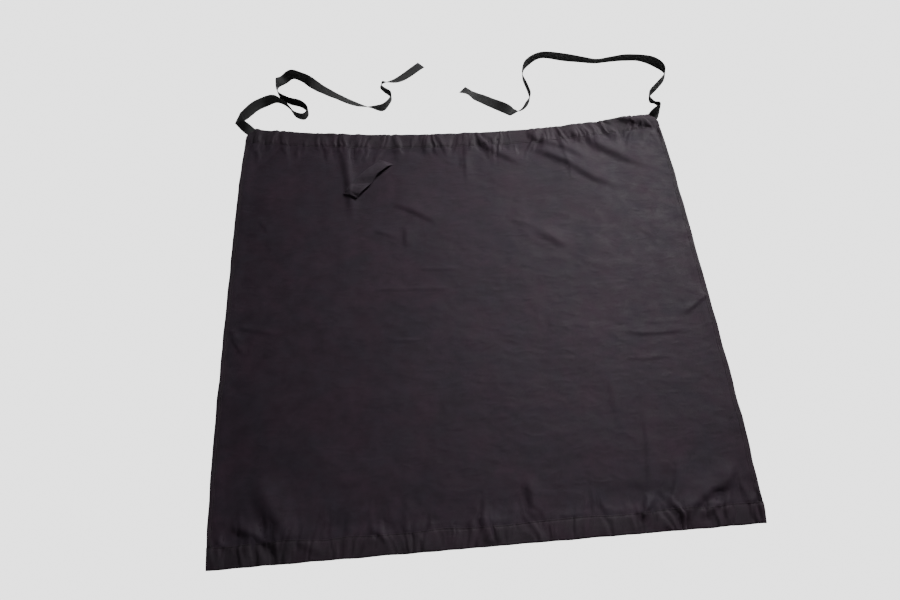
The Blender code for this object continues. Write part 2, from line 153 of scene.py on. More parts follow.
# Folds and pressed creases, each drawn left to right or downward along its steep slope, with its
# gentle slope on the left, which catches the light. Places in metres, then height (below 0 for a
# hollow), run of the steep slope, run of the gentle slope (all mm), and the shares of its length
# over which its two ends fade
foldTable = [
    ([(0.252, 0.452), (0.300, 0.420), (0.346, 0.389), (0.405, 0.348), (0.470, 0.312)],
     6.0, 24, 52, 0.10, 0.45),
    ([(0.160, 0.446), (0.215, 0.416), (0.262, 0.394), (0.322, 0.338)], 4.2, 18, 30, 0.15, 0.45),
    ([(0.162, 0.408), (0.225, 0.371), (0.273, 0.336), (0.323, 0.295), (0.392, 0.270)],
     4.7, 20, 40, 0.25, 0.35),
    ([(0.040, 0.440), (0.074, 0.409), (0.110, 0.381), (0.166, 0.342)], 3.9, 16, 30, 0.15, 0.45),
    ([(0.200, 0.392), (0.245, 0.361), (0.290, 0.330)], 1.2, 13, 18, 0.30, 0.40),
    ([(0.300, 0.478), (0.400, 0.470), (0.500, 0.462)], 4.0, 34, 22, 0.30, 0.06),
    ([(0.390, 0.474), (0.440, 0.463), (0.490, 0.444)], 5.2, 11, 20, 0.30, 0.20),
    ([(0.150, 0.168), (0.185, 0.146), (0.226, 0.112)], 3.0, 20, 28, 0.45, 0.35),
    ([(0.095, 0.205), (0.140, 0.182), (0.172, 0.172)], 1.0, 12, 20, 0.40, 0.40),
    ([(-0.166, 0.262), (-0.106, 0.231), (-0.044, 0.188)], 3.0, 15, 28, 0.35, 0.40),
    ([(-0.128, 0.205), (-0.131, 0.165), (-0.128, 0.128)], 2.4, 13, 22, 0.40, 0.40),
    ([(-0.205, 0.190), (-0.165, 0.172), (-0.140, 0.160)], 1.3, 8, 14, 0.40, 0.40),
    ([(-0.478, 0.352), (-0.445, 0.412), (-0.392, 0.470)], -2.4, 22, 20, 0.35, 0.35),
    ([(-0.462, 0.236), (-0.444, 0.214), (-0.430, 0.186)], 1.2, 7, 12, 0.35, 0.40),
    ([(0.009, 0.395), (0.011, 0.374), (0.004, 0.352)], 1.4, 6, 12, 0.35, 0.35),
    ([(-0.034, 0.384), (-0.018, 0.368), (0.004, 0.362)], 0.9, 6, 10, 0.40, 0.30),
    ([(-0.276, 0.492), (-0.268, 0.400), (-0.256, 0.300), (-0.250, 0.205)], 6.2, 22, 17, 0.10, 0.38),
    ([(0.022, 0.470), (0.021, 0.420), (0.018, 0.345), (0.017, 0.290)], 2.2, 9, 15, 0.10, 0.45),
    ([(0.252, 0.466), (0.255, 0.400), (0.262, 0.330), (0.264, 0.285)], 1.6, 7, 10, 0.10, 0.35),
    ([(0.318, -0.250), (0.312, -0.330), (0.300, -0.400), (0.290, -0.455)], 2.0, 12, 22, 0.40, 0.30),
    ([(0.262, -0.175), (0.262, -0.240), (0.264, -0.300)], 0.9, 13, 16, 0.40, 0.40),
    ([(-0.486, -0.036), (-0.435, -0.050), (-0.380, -0.062)], 1.5, 7, 11, 0.15, 0.40),
    ([(-0.500, -0.040), (-0.484, -0.060), (-0.464, -0.078)], 1.5, 5, 8, 0.15, 0.40),
    ([(-0.496, -0.052), (-0.482, -0.078), (-0.462, -0.106)], 2.2, 8, 10, 0.20, 0.40),
    ([(0.440, -0.070), (0.478, -0.044), (0.508, -0.022)], 3.0, 9, 13, 0.40, 0.15),
    ([(0.300, -0.094), (0.359, -0.105), (0.460, -0.102)], 1.6, 8, 13, 0.30, 0.30),
    ([(0.330, -0.078), (0.400, -0.080), (0.470, -0.083)], 0.6, 3, 7, 0.35, 0.35),
    ([(0.300, -0.156), (0.352, -0.160), (0.402, -0.155)], 1.0, 5, 10, 0.35, 0.35),
    ([(-0.106, 0.080), (-0.060, 0.077), (-0.012, 0.075)], 1.1, 4, 7, 0.20, 0.20),
    ([(-0.214, 0.036), (-0.120, 0.031), (-0.030, 0.027)], 1.0, 4, 7, 0.20, 0.20),
    ([(-0.174, -0.087), (-0.138, -0.089), (-0.100, -0.091)], 1.0, 4, 7, 0.30, 0.30),
    ([(-0.434, -0.345), (-0.414, -0.395), (-0.390, -0.435), (-0.356, -0.486)], 8.0, 36, 38, 0.35, 0.18),
    ([(-0.478, -0.440), (-0.430, -0.452), (-0.392, -0.474), (-0.366, -0.492)], 5.4, 13, 18, 0.30, 0.25),
    ([(-0.350, -0.470), (-0.318, -0.486), (-0.290, -0.497)], 2.6, 10, 15, 0.30, 0.40),
    ([(-0.500, -0.450), (-0.470, -0.474), (-0.446, -0.492)], 2.6, 10, 15, 0.30, 0.30),
    ([(-0.216, -0.452), (-0.196, -0.470), (-0.176, -0.488)], 3.2, 10, 14, 0.30, 0.25),
    ([(-0.150, -0.400), (-0.152, -0.440), (-0.146, -0.480)], 2.8, 13, 20, 0.45, 0.25),
    ([(-0.126, -0.470), (-0.122, -0.488), (-0.120, -0.506)], 2.8, 9, 11, 0.35, 0.20),
    ([(-0.026, -0.425), (-0.012, -0.455), (-0.004, -0.500)], 3.4, 18, 20, 0.45, 0.15),
    ([(0.070, -0.370), (0.077, -0.415), (0.074, -0.462)], 4.2, 18, 24, 0.45, 0.20),
    ([(0.350, -0.484), (0.374, -0.460), (0.408, -0.437), (0.450, -0.418), (0.480, -0.372)],
     7.2, 18, 30, 0.10, 0.30),
    ([(0.380, -0.482), (0.412, -0.462), (0.446, -0.447)], 3.6, 10, 14, 0.25, 0.40),
    ([(0.276, -0.474), (0.300, -0.448), (0.314, -0.424)], 6.0, 14, 18, 0.20, 0.45),
    ([(0.366, -0.350), (0.350, -0.405), (0.322, -0.462)], 3.2, 11, 20, 0.40, 0.25),
    ([(0.462, -0.446), (0.476, -0.456), (0.496, -0.452)], 1.6, 7, 10, 0.30, 0.25),
]
foldPaths = [roundPath(row[0]) for row in foldTable]


def foldLift(x, y):
    lift = np.zeros(x.shape)
    for row, path in zip(foldTable, foldPaths):
        _, height, steep, gentle, fadeIn, fadeOut = row
        side, share = besidePath(x, y, path)
        side = side * 1000
        rise = smooth01(side / steep + 0.5)
        fall = np.exp(-(np.maximum(side, 0) / gentle) ** 2)
        ends = smooth01(share / fadeIn) * smooth01((1 - share) / fadeOut)
        lift += height / 1000 * rise * fall * ends
    return lift


gathers = {
    "height": 0.0035,
    "hemShare": 1.1,        # of that height along the hem
    "hemMore": 0.5,         # added to it towards the hem's right end
    "reach": 0.030,         # how far they run into the panel
    "bandReach": 2.2,       # how much further they run into the band
    "cell": 0.018,          # width of a gather
    "fineCell": 0.0085,     # width of the small ones between them
    "fineShare": 0.5,
    "sway": 0.9,            # how much they lean as they leave the seam
    "wobble": 0.004,        # how unevenly they stand side by side
    "pleat": 0.55,          # share of the height in narrow pressed pleats
    "pleatCell": 0.024,
    "pleatWidth": 0.13,
    "atSeam": 0.65,         # share of the height that the stitching leaves
    "seamRun": 0.008,       # distance over which they grow to the whole height
}


def seamPucker(run, away, seed):  # gathers that spread from a seam, on either side of it
    bent = run + gathers["sway"] * away * runNoise(run, 0.05, 0.2, seed + 3)
    bent = bent + gathers["wobble"] * softNoise(run / 0.03, away / 0.02, seed + 5)
    wave = softNoise(bent / gathers["cell"], 0.4 + away * 9, seed)
    wave = wave + gathers["fineShare"] * softNoise(bent / gathers["fineCell"], away * 14, seed + 1)
    wave = np.sign(wave) * np.abs(wave) ** 0.8
    pleat = softNoise(bent / gathers["pleatCell"], 0.7 + away * 6, seed + 6)
    wave = wave - gathers["pleat"] * np.exp(-(pleat / gathers["pleatWidth"]) ** 2)
    longer = np.clip(1.0 + 0.9 * runNoise(run, 0.06, 0.3, seed + 2), 0.35, 1.6)
    strong = 0.45 + 0.75 * smooth01(runNoise(run, 0.11, 0.6, seed + 4) + 0.6)
    grown = smooth01(np.abs(away) / gathers["seamRun"])
    pinch = gathers["atSeam"] + (1 - gathers["atSeam"]) * grown
    reach = np.where(away < 0, gathers["bandReach"], 1.0) * gathers["reach"] * longer
    return gathers["height"] * wave * strong * pinch * np.exp(-(away / reach) ** 2)


# Noise layers are (cell across, cell up, share, seed)
crumple = {
    "broad": 0.0011,        # slow swells of the whole cloth
    "broadLayers": [(0.17, 0.13, 1.0, 33), (0.08, 0.07, 0.5, 34)],
    "dents": 0.00050,       # soft dents
    "dentLayers": [(0.045, 0.034, 1.0, 35), (0.024, 0.017, 0.6, 36)],
    "wrinkles": 0.00028,    # small wrinkles that run mostly across
    "wrinkleLayers": [(0.050, 0.012, 0.6, 37), (0.026, 0.0085, 0.6, 38)],
    "warpAcross": 0.020,    # how far the layers are pulled about
    "warpUp": 0.012,
    "calmDents": 0.35,      # share of the dents and wrinkles left at the calm left and top
    "calmWrinkles": 0.15,
}


def noiseLayers(x, y, layers, ridged=False):
    total = np.zeros(x.shape)
    for across, up, share, seed in layers:
        level = softNoise(x / across, y / up, seed)
        total += share * (1 - 2 * np.abs(level) if ridged else level)
    return total


def crumpleLift(x, y):
    busy = smooth01((x + 0.42) / 0.5) * (1 - 0.55 * smooth01((y - 0.25) / 0.2))  # less so at the left and top
    warpX = x + crumple["warpAcross"] * softNoise(x / 0.11, y / 0.11, 31)
    warpY = y + crumple["warpUp"] * softNoise(x / 0.09, y / 0.09, 32)
    patch = smooth01(0.5 + 0.9 * softNoise(x / 0.06, y / 0.04, 39))
    broad = noiseLayers(warpX, warpY, crumple["broadLayers"])
    dents = noiseLayers(warpX, warpY, crumple["dentLayers"])
    wrinkles = noiseLayers(warpX, warpY, crumple["wrinkleLayers"], ridged=True)
    calmDents, calmWrinkles = crumple["calmDents"], crumple["calmWrinkles"]
    return (crumple["broad"] * broad + crumple["dents"] * dents * (calmDents + (1 - calmDents) * busy)
            + crumple["wrinkles"] * wrinkles * patch * (calmWrinkles + (1 - calmWrinkles) * busy))


def gatherLift(x, p, q):
    hemShare = gathers["hemShare"] + gathers["hemMore"] * smooth01((x - 0.1) / 0.3)
    fromWaist = apron["length"] - apron["waistDepth"] - q
    fromHem = q - apron["hemDepth"]
    return seamPucker(p, fromWaist, 51) + hemShare * seamPucker(p, fromHem, 61)


def clothLift(p, q):  # height of the cloth's underside, kept above the floor
    x, y = layOut(p, q)
    lift = foldLift(x, y) + crumpleLift(x, y) + gatherLift(x, p, q) + apron["lie"]
    lowest = apron["lowest"]
    return np.where(lift > lowest, lift, lowest * np.exp(np.minimum(lift / lowest - 1, 0)))


def bandDistance(p, q):
    sides = np.minimum(p, apron["width"] - p) - apron["sideDepth"]
    return np.minimum(sides, np.minimum(q - apron["hemDepth"], apron["length"] - apron["waistDepth"] - q))


def panelUnder(p, q):  # underside of the panel, which lies higher inside its bands
    return apron["bandSeat"] * (1 - smooth01(bandDistance(p, q) / apron["ease"])) + clothLift(p, q)


def panelTop(x, y):
    return panelUnder(*patternOf(x, y)) + apron["cloth"]


def makePiece(name, points, faces, material, uv=None):
    mesh = bpy.data.meshes.new(name)
    mesh.from_pydata([tuple(point) for point in points], [], faces)
    mesh.validate()
    mesh.update()
    mesh.shade_smooth()
    if uv is not None:
        layer = mesh.uv_layers.new(name="cloth")
        corners = np.empty(len(mesh.loops), int)
        mesh.loops.foreach_get("vertex_index", corners)
        layer.data.foreach_set("uv", np.asarray(uv, float)[corners].ravel())
    mesh.materials.append(material)
    piece = bpy.data.objects.new(name, mesh)
    bpy.context.scene.collection.objects.link(piece)
    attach(piece, "root")
    return piece


def turnOutward(piece):
    bm = bmesh.new()
    bm.from_mesh(piece.data)
    bmesh.ops.recalc_face_normals(bm, faces=bm.faces)
    if bm.calc_volume(signed=True) < 0:
        bmesh.ops.reverse_faces(bm, faces=bm.faces)
    bm.to_mesh(piece.data)
    bm.free()


def gridFaces(columns, rows, base=0):
    wide = columns + 1
    starts = [base + j * wide + i for j in range(rows) for i in range(columns)]
    return [(start, start + 1, start + wide + 1, start + wide) for start in starts]


def tubeFaces(rings, size, base=0):  # quads between closed rings of equal size
    faces = []
    for ring in range(rings - 1):
        for k in range(size):
            a, b = base + ring * size + k, base + ring * size + (k + 1) % size
            faces.append((a, b, b + size, a + size))
    return faces


def zippedTube(rings, size):  # the same, with each end zipped shut
    faces = tubeFaces(rings, size)
    for start in (0, (rings - 1) * size):
        for k in range(size // 2 - 1):
            faces.append((start + k, start + k + 1, start + size - 2 - k, start + size - 1 - k))
    return faces


def newGroup(name, inputs, outputs):
    group = bpy.data.node_groups.new(name, "ShaderNodeTree")
    for label, kind, value in inputs:
        socket = group.interface.new_socket(name=label, in_out="INPUT", socket_type=kind)
        if value is not None:
            socket.default_value = value
    for label, kind in outputs:
        group.interface.new_socket(name=label, in_out="OUTPUT", socket_type=kind)
    return group, group.nodes.new("NodeGroupInput").outputs, group.nodes.new("NodeGroupOutput").inputs


def node(tree, kind, settings=None, **inputs):
    made = tree.nodes.new(kind)
    for key, value in (settings or {}).items():
        setattr(made, key, value)
    for key, value in inputs.items():
        made.inputs[key.replace("_", " ")].default_value = value
    return made


def feed(tree, slot, value):  # a link from another node, or a plain value or colour
    if isinstance(value, bpy.types.NodeSocket):
        tree.links.new(value, slot)
    else:
        slot.default_value = (*value, 1) if isinstance(value, tuple) else value


def mathNode(tree, operation, first, second=0.0):
    made = node(tree, "ShaderNodeMath", {"operation": operation})
    feed(tree, made.inputs[0], first)
    feed(tree, made.inputs[1], second)
    return made.outputs[0]


def mixColor(tree, share, first, second):
    made = node(tree, "ShaderNodeMix", {"data_type": "RGBA"})
    for index, value in ((0, share), (6, first), (7, second)):
        feed(tree, made.inputs[index], value)
    return made.outputs[2]


def weighted(tree, *terms):  # sum of sockets, each times its weight
    parts = [mathNode(tree, "MULTIPLY", socket, weight) for socket, weight in terms]
    total = parts[0]
    for part in parts[1:]:
        total = mathNode(tree, "ADD", total, part)
    return total


def drawnOut(tree, socket, low, high):  # the part of a mask from low to high, as 0 to 1
    made = node(tree, "ShaderNodeMapRange", From_Min=low, From_Max=high)
    feed(tree, made.inputs["Value"], socket)
    return made.outputs[0]


# Its Shade output is painted shade: darker in the grooves between the ribs, mixed with uneven yarn
def twillGroup():  # fine diagonal ribs with threads across them
    group, given, result = newGroup(
        "twillWeave",
        [("Vector", "NodeSocketVector", None), ("Ribs per metre", "NodeSocketFloat", 900.0),
         ("Slant", "NodeSocketFloat", 1.0)],
        [("Height", "NodeSocketFloat"), ("Shade", "NodeSocketFloat")])
    split = node(group, "ShaderNodeSeparateXYZ")
    feed(group, split.inputs[0], given["Vector"])
    slanted = mathNode(group, "MULTIPLY", split.outputs[1], given["Slant"])
    rib = mathNode(group, "MULTIPLY", mathNode(group, "ADD", split.outputs[0], slanted),
                   given["Ribs per metre"])
    thread = mathNode(group, "MULTIPLY", split.outputs[1], given["Ribs per metre"])
    ribWave = mathNode(group, "SINE", mathNode(group, "MULTIPLY", rib, 2 * math.pi))
    threadWave = mathNode(group, "SINE", mathNode(group, "MULTIPLY", thread, 4 * math.pi))
    height = mathNode(group, "ADD", weighted(group, (ribWave, 0.35), (threadWave, 0.15)), 0.5)
    slub = node(group, "ShaderNodeTexNoise", Scale=900.0, Detail=2.0)  # uneven yarn
    feed(group, slub.inputs["Vector"], given["Vector"])
    feed(group, result["Height"], height)
    feed(group, result["Shade"], weighted(group, (height, 0.6), (slub.outputs[0], 0.4)))
    return group


def handlingGroup():  # uneven dye, rubbed patches and small wrinkles too fine for the mesh
    group, given, result = newGroup(
        "clothHandling",
        [("Vector", "NodeSocketVector", None), ("Wrinkle size", "NodeSocketFloat", 60.0),
         ("Wrinkle depth", "NodeSocketFloat", 1.0)],
        [("Tone", "NodeSocketFloat"), ("Hue", "NodeSocketFloat"), ("Rubbed", "NodeSocketFloat"),
         ("Wrinkles", "NodeSocketFloat")])
    tone = node(group, "ShaderNodeTexNoise", Scale=5.0, Detail=3.0, Roughness=0.55)
    hue = node(group, "ShaderNodeTexNoise", Scale=11.0, Detail=4.0, Roughness=0.65, Distortion=0.5)
    rubbed = node(group, "ShaderNodeTexNoise", Scale=34.0, Detail=4.0, Roughness=0.6)
    stretch = node(group, "ShaderNodeMapping", Scale=(0.52, 1.0, 1.0))
    wrinkle = node(group, "ShaderNodeTexNoise", {"noise_type": "RIDGED_MULTIFRACTAL"}, Detail=3.0,
                   Roughness=0.5, Distortion=0.4)
    for placed in (tone, hue, rubbed, stretch):
        feed(group, placed.inputs["Vector"], given["Vector"])
    feed(group, wrinkle.inputs["Vector"], stretch.outputs[0])
    feed(group, wrinkle.inputs["Scale"], given["Wrinkle size"])
    feed(group, result["Tone"], tone.outputs[0])
    feed(group, result["Hue"], drawnOut(group, hue.outputs[0], 0.36, 0.64))
    feed(group, result["Rubbed"], drawnOut(group, rubbed.outputs[0], 0.34, 0.66))
    feed(group, result["Wrinkles"],
         mathNode(group, "MULTIPLY", wrinkle.outputs[0], given["Wrinkle depth"]))
    return group


twill = twillGroup()
handling = handlingGroup()


def newMaterial(name):
    material = bpy.data.materials.new(name)
    material.use_nodes = True
    return material, material.node_tree, material.node_tree.nodes["Principled BSDF"].inputs


def clothMaterial(name, look, source):
    material, tree, shader = newMaterial(name)
    shader["Metallic"].default_value = 0.0
    shader["Specular IOR Level"].default_value = look["specular"]
    shader["Sheen Weight"].default_value = look["sheen"]
    shader["Sheen Roughness"].default_value = look["sheenRoughness"]
    shader["Sheen Tint"].default_value = (*look["sheenTint"], 1)
    place = node(tree, "ShaderNodeTexCoord").outputs
    weave = node(tree, "ShaderNodeGroup", {"node_tree": twill}, Ribs_per_metre=look["ribs"],
                 Slant=look["slant"])
    hands = node(tree, "ShaderNodeGroup", {"node_tree": handling}, Wrinkle_size=look["wrinkleSize"],
                 Wrinkle_depth=look["wrinkleDepth"])
    feed(tree, weave.inputs["Vector"], place[source])
    feed(tree, hands.inputs["Vector"], place["Object"])

    rubbed = hands.outputs["Rubbed"]
    # tone mixes random dye, rubbed patches and the weave's painted shade in its grooves
    tone = weighted(tree, (hands.outputs["Tone"], look["toneShare"]), (rubbed, look["rubShare"]),
                    (weave.outputs["Shade"], look["weaveShadeShare"]))
    dye = mixColor(tree, hands.outputs["Hue"], look["cool"], look["faded"])
    feed(tree, shader["Base Color"], mixColor(tree, tone, look["deep"], dye))
    rough = mathNode(tree, "ADD", weighted(tree, (rubbed, look["rubRoughness"])), look["roughness"])
    feed(tree, shader["Roughness"], rough)

    folds = node(tree, "ShaderNodeBump", Distance=look["wrinkleBump"], Strength=1.0)
    ribs = node(tree, "ShaderNodeBump", Distance=look["weaveBump"], Strength=0.7)
    feed(tree, folds.inputs["Height"], hands.outputs["Wrinkles"])
    feed(tree, ribs.inputs["Height"], weave.outputs["Height"])
    feed(tree, ribs.inputs["Normal"], folds.outputs[0])
    feed(tree, shader["Normal"], ribs.outputs[0])
    return material


cottonLook = {
    "deep": (0.0200, 0.0120, 0.0195),
    "faded": (0.0570, 0.0335, 0.0510),
    "cool": (0.0445, 0.0350, 0.0500),
    "toneShare": 0.35,      # how far the dye, the rubbing and the weave (painted shade in its grooves, with uneven yarn) each go from deep to faded
    "rubShare": 0.35,
    "weaveShadeShare": 0.30,
    "roughness": 0.62,
    "rubRoughness": 0.14,   # added where it is rubbed
    "specular": 0.20,
    "sheen": 0.05,
    "sheenRoughness": 0.45,
    "sheenTint": (1.0, 0.90, 0.98),
    "ribs": 620.0,          # per metre
    "slant": 1.0,
    "wrinkleSize": 74.0,    # wrinkles per metre
    "wrinkleDepth": 1.0,
    "wrinkleBump": 0.00048,
    "weaveBump": 0.00012,
}
# The bands are the panel's own cloth, painted a little lighter and greyer to stand in for the sheen on them
seamSheenLook = {
    **cottonLook,
    "deep": (0.0215, 0.0140, 0.0200),
    "cool": (0.0450, 0.0370, 0.0465),
    "wrinkleSize": 90.0,
    "wrinkleBump": 0.0003,
}
# The strip is the panel's own cloth, painted lighter here to stand in for the light on its raised facets
paintedLightLoopLook = {
    **cottonLook,
    "faded": (0.078, 0.056, 0.074),
    "cool": (0.066, 0.057, 0.071),
    "wrinkleSize": 110.0,
}
tapeLook = {
    **cottonLook,
    "deep": (0.0370, 0.0370, 0.0374),
    "faded": (0.0640, 0.0640, 0.0645),
    "cool": (0.0580, 0.0580, 0.0590),
    "toneShare": 0.15,
    "rubShare": 0.25,
    "specular": 0.10,
    "sheen": 0.0,
    "sheenTint": (1.0, 1.0, 1.0),
    "ribs": 1100.0,
    "slant": 0.6,
    "wrinkleSize": 150.0,
    "wrinkleBump": 0.0001,
}
cotton = clothMaterial("blackCotton", cottonLook, "Object")
seamSheenCotton = clothMaterial("blackCottonSeamsPaintedSheen", seamSheenLook, "Object")
paintedLightLoopCotton = clothMaterial("blackCottonLoopPaintedLight", paintedLightLoopLook, "Object")
tape = clothMaterial("blackTape", tapeLook, "UV")
threadLook = {
    "color": (0.020, 0.017, 0.020),
    "furrowShade": (0.010, 0.0085, 0.010),  # painted shade between its twisted strands
    "roughness": 0.55,
    "twists": 900.0,
    "bump": 0.0001,
}


def threadMaterial(look):
    material, tree, shader = newMaterial("sewingThread")
    shader["Roughness"].default_value = look["roughness"]
    twist = node(tree, "ShaderNodeTexWave", {"wave_type": "BANDS", "bands_direction": "DIAGONAL"},
                 Scale=look["twists"], Distortion=0.6)
    strands = twist.outputs["Fac"]
    bump = node(tree, "ShaderNodeBump", Distance=look["bump"])
    feed(tree, twist.inputs["Vector"], node(tree, "ShaderNodeTexCoord").outputs["Object"])
    feed(tree, bump.inputs["Height"], strands)
    # painted shade: the twist's hollows darker than its strands
    feed(tree, shader["Base Color"], mixColor(tree, strands, look["furrowShade"], look["color"]))
    feed(tree, shader["Normal"], bump.outputs[0])
    return material


thread = threadMaterial(threadLook)
print("stage: materials")

panel = {
    "across": 276,          # cells of its upper face, a multiple of coarse each way
    "up": 270,
    "coarse": 3,            # cells of the upper face for one of the underside
    "insetSide": 0.0013,    # how deep its edges lie inside the bands' outer edges
    "insetBottom": 0.0013,
    "insetTop": 0.0292,
}


def makePanel():
    across, up, coarse = panel["across"], panel["up"], panel["coarse"]
    p = np.linspace(panel["insetSide"], apron["width"] - panel["insetSide"], across + 1)
    q = np.linspace(panel["insetBottom"], apron["length"] - panel["insetTop"], up + 1)
    p, q = np.meshgrid(p, q)
    under = np.stack([*layOut(p, q), panelUnder(p, q)], 2)
    top = (under + apron["cloth"] * upward).reshape(-1, 3)
    bottom = under[::coarse, ::coarse].reshape(-1, 3)
    wide, base, few = across + 1, len(top), across // coarse + 1
    faces = gridFaces(across, up)
    faces += [face[:1] + face[:0:-1] for face in gridFaces(across // coarse, up // coarse, base)]
    rim = ([(0, i) for i in range(0, across, coarse)] + [(j, across) for j in range(0, up, coarse)]
           + [(up, i) for i in range(across, 0, -coarse)] + [(j, 0) for j in range(up, 0, -coarse)])
    for (j, i), (m, n) in zip(rim, rim[1:] + rim[:1]):
        between = [(j + (m - j) * s // coarse) * wide + i + (n - i) * s // coarse
                   for s in range(coarse + 1)]
        faces.append((base + j // coarse * few + i // coarse, base + m // coarse * few + n // coarse,
                      *reversed(between)))
    piece = makePiece("panel_cloth", np.vstack([top, bottom]), faces, cotton)
    turnOutward(piece)
    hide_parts("panel")
    return piece


panelPiece = makePanel()
print("stage: panel,", len(panelPiece.data.polygons), "faces")

bandLook = {
    "lip": 0.0004,          # thickness of the folded cloth
    "sideLip": 0.0003,
    "gap": 0.0001,          # between the panel and the cloth folded over it
    "foldRise": 0.00108,    # height of the folded edge's middle
    "sink": 0.55,           # share of the panel's lift that the band's underside has
    "unsteady": 0.075,      # how unevenly a seam was sewn, as a share of its inset
    "puff": 0.0007,         # fullness between the edge and the stitching
    "groove": 0.0005,       # how far the stitching pulls it down, and over which run
    "grooveRun": 0.0012,
    "stitchIn": 0.0025,     # stitching's distance from the lip
}
sideRun = apron["length"] - apron["waistDepth"] - apron["hemDepth"] - 2 * apron["sideGap"]


def unsteady(share, seed):
    ends = smooth01(share / 0.05) * smooth01((1 - share) / 0.05)
    return 1 + bandLook["unsteady"] * ends * runNoise(share, 0.055, 0.4, seed)


def waistPlace(share, inset):
    cut = np.maximum(0.0, apron["cornerCut"] - inset)
    return cut + (apron["width"] - 2 * cut) * share, apron["length"] - inset * unsteady(share, 81)


def hemPlace(share, inset):
    return apron["width"] * share, inset * unsteady(share, 84)


def leftPlace(share, inset):
    return inset, apron["hemDepth"] + apron["sideGap"] + sideRun * share


def rightPlace(share, inset):
    p, q = leftPlace(share, inset)
    return apron["width"] - p, q


bands = {
    "waistband": {"place": waistPlace, "depth": apron["waistDepth"], "run": apron["width"],
                  "cells": 520, "puffShare": 1.0, "lip": bandLook["lip"]},
    "bottom_hem": {"place": hemPlace, "depth": apron["hemDepth"], "run": apron["width"],
                   "cells": 520, "puffShare": 0.9, "lip": bandLook["lip"]},
    "side_hem_left": {"place": leftPlace, "depth": apron["sideDepth"], "run": sideRun,
                      "cells": 360, "puffShare": 0.3, "lip": bandLook["sideLip"]},
    "side_hem_right": {"place": rightPlace, "depth": apron["sideDepth"], "run": sideRun,
                       "cells": 360, "puffShare": 0.3, "lip": bandLook["sideLip"]},
}


def makeBand(label, band):
    depth, lip, count = band["depth"], band["lip"], band["cells"] + 1
    stitch = depth - bandLook["stitchIn"]
    # rows of points, closer together at the folded edge, the stitching and the lip
    insets = sorted([0.0012, 0.003, *(depth * share for share in (0.16, 0.3, 0.45, 0.6, 0.75)),
                     stitch - 0.004, stitch - 0.0015, stitch, stitch + 0.0012, depth - 0.0004, depth])

    def row(layer, inset):
        p, q = band["place"](np.linspace(0, 1, count), np.full(count, inset))
        lift = clothLift(p, q)
        floor = lift * bandLook["sink"]
        seat = apron["bandSeat"] + apron["cloth"] + lift + bandLook["gap"]
        if layer == "roof":
            full = np.sin(np.pi * np.clip(inset / stitch, 0, 1)) ** 0.7
            groove = bandLook["groove"] * np.exp(-((inset - stitch) / bandLook["grooveRun"]) ** 2)
            edge = 0.8 * lip if inset == depth else 0.0
            seat = seat + lip + bandLook["puff"] * band["puffShare"] * full - groove - edge
        z = {"floor": floor, "slotFloor": floor + lip, "slotRoof": seat, "roof": seat}[layer]
        return np.stack([*layOut(p, q), z], 1)

    # from the inner edge under the panel, round the folded edge, back over it and into its slot
    foldEdge = row("floor", 0.0) + bandLook["foldRise"] * upward
    slotRoof = [row("slotRoof", inset) for inset in reversed(insets)]
    slotFloor = [row("slotFloor", inset) for inset in insets]
    slotEnd = slotFloor[0].copy()
    slotEnd[:, 2] = (slotEnd[:, 2] + slotRoof[-1][:, 2]) / 2
    rows = [row("floor", inset) for inset in reversed(insets)] + [foldEdge]
    rows += [row("roof", inset) for inset in insets] + slotRoof + [slotEnd] + slotFloor
    piece = makePiece(label + "_cloth", np.stack(rows, 1).reshape(-1, 3), zippedTube(count, len(rows)),
                      seamSheenCotton)
    turnOutward(piece)
    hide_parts(label)
    return piece


bandPieces = {label: makeBand(label, band) for label, band in bands.items()}
print("stage: waistband and hems")

stitching = {
    "length": 0.0031,
    "pitch": 0.0040,
    "radius": 0.00022,
    "flat": 0.8,            # height of the thread as a share of its width
    "sides": 6,
    "outline": [(-0.5, 0.25), (-0.36, 0.9), (0.0, 1.0), (0.36, 0.9), (0.5, 0.25)],  # place, thickness
}


def makeStitches(name, spots, headings):
    headings = headings / np.linalg.norm(headings, axis=1)[:, None]
    radius, size, outline = stitching["radius"], stitching["sides"], stitching["outline"]
    turns = np.linspace(0, 2 * np.pi, size, endpoint=False)
    points, faces = [], []
    for spot, ahead in zip(spots, headings):
        up = upward - ahead * ahead[2]
        across = np.cross(up, ahead)
        base = len(points)
        for along, fat in outline:
            lift = radius * (1.1 - 4.4 * along * along) * stitching["flat"]  # its ends dive into the cloth
            middle = spot + ahead * along * stitching["length"] + up * lift
            for turn in turns:
                rim = across * np.cos(turn) + up * np.sin(turn) * stitching["flat"]
                points.append(middle + rim * radius * fat)
        faces += tubeFaces(len(outline), size, base)
        faces.append(tuple(base + k for k in reversed(range(size))))
        faces.append(tuple(base + (len(outline) - 1) * size + k for k in range(size)))
    makePiece(name, points, faces, thread)


def seamPlaces(band, share):  # where its thread lies on the band
    inset = band["depth"] - bandLook["stitchIn"]
    p, q = band["place"](share, np.full(len(share), inset))
    lip = band["lip"] - bandLook["groove"] + bandLook["gap"]
    return np.stack([*layOut(p, q), apron["bandSeat"] + apron["cloth"] + clothLift(p, q) + lip], 1)


for label, band in bands.items():
    stitches = int(band["run"] / stitching["pitch"])
    share = (np.arange(stitches) + 0.5) / stitches
    spots = seamPlaces(band, share)
    makeStitches(label + "_stitches", spots, seamPlaces(band, share + 0.001) - spots)
print("stage: stitching")

